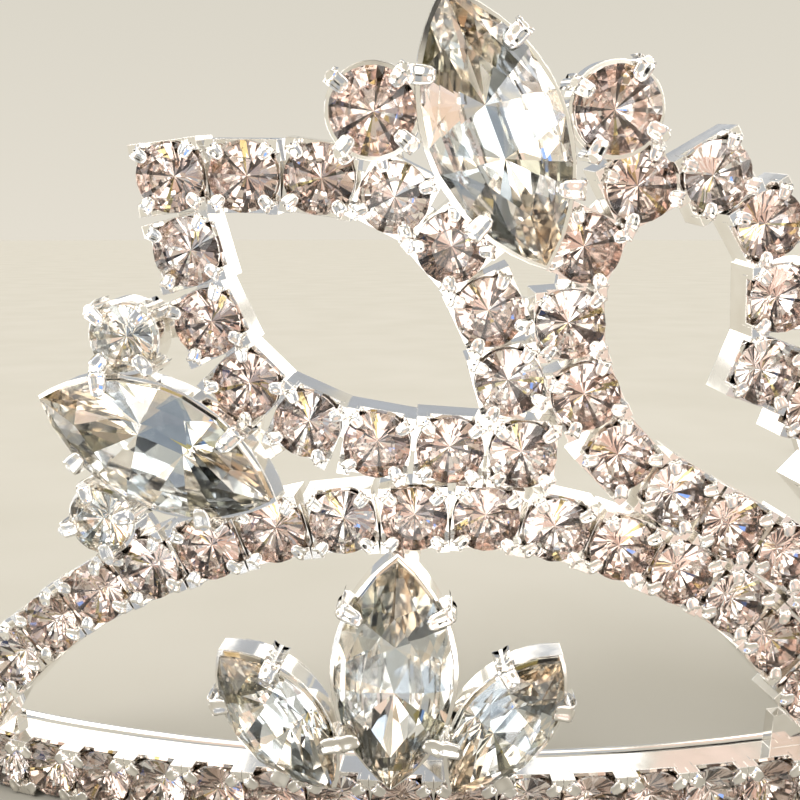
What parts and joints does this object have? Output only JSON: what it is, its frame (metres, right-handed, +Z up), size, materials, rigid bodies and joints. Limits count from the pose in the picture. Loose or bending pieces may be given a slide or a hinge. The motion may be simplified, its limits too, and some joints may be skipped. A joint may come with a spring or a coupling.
{
  "type": "pageant crown",
  "caption": "Tiara-type pageant crown: an open-backed headband that carries a soldered openwork of cup chain arches, leaves and a heart, set with round and pointed cut stones.",
  "frame": {"origin": "centre of the crown's bounding box at the level of the headband's flat underside", "axes": "+Z up, front of the crown towards -Y, +X to the viewer's right of the front"},
  "size_m": [0.1552, 0.1064, 0.0488],
  "materials": {
    "silver": "polished",
    "crystal": "cut and foil-backed"
  },
  "bodies": {
    "root": {"silver_frame": "silver", "foot_row_stones": "crystal", "left_arch_stones": "crystal", "right_arch_stones": "crystal", "left_leaf_stones": "crystal", "right_leaf_stones": "crystal", "heart_stones": "crystal", "left_top_navette": "crystal", "right_top_navette": "crystal", "left_side_navette": "crystal", "right_side_navette": "crystal", "left_fleur_middle": "crystal", "right_fleur_middle": "crystal", "left_fleur_outer": "crystal", "right_fleur_outer": "crystal", "left_fleur_inner": "crystal", "right_fleur_inner": "crystal", "left_round_1": "crystal", "right_round_1": "crystal", "left_round_2": "crystal", "right_round_2": "crystal", "left_round_3": "crystal", "right_round_3": "crystal", "left_round_4": "crystal", "right_round_4": "crystal"}
  },
  "joints": []
}
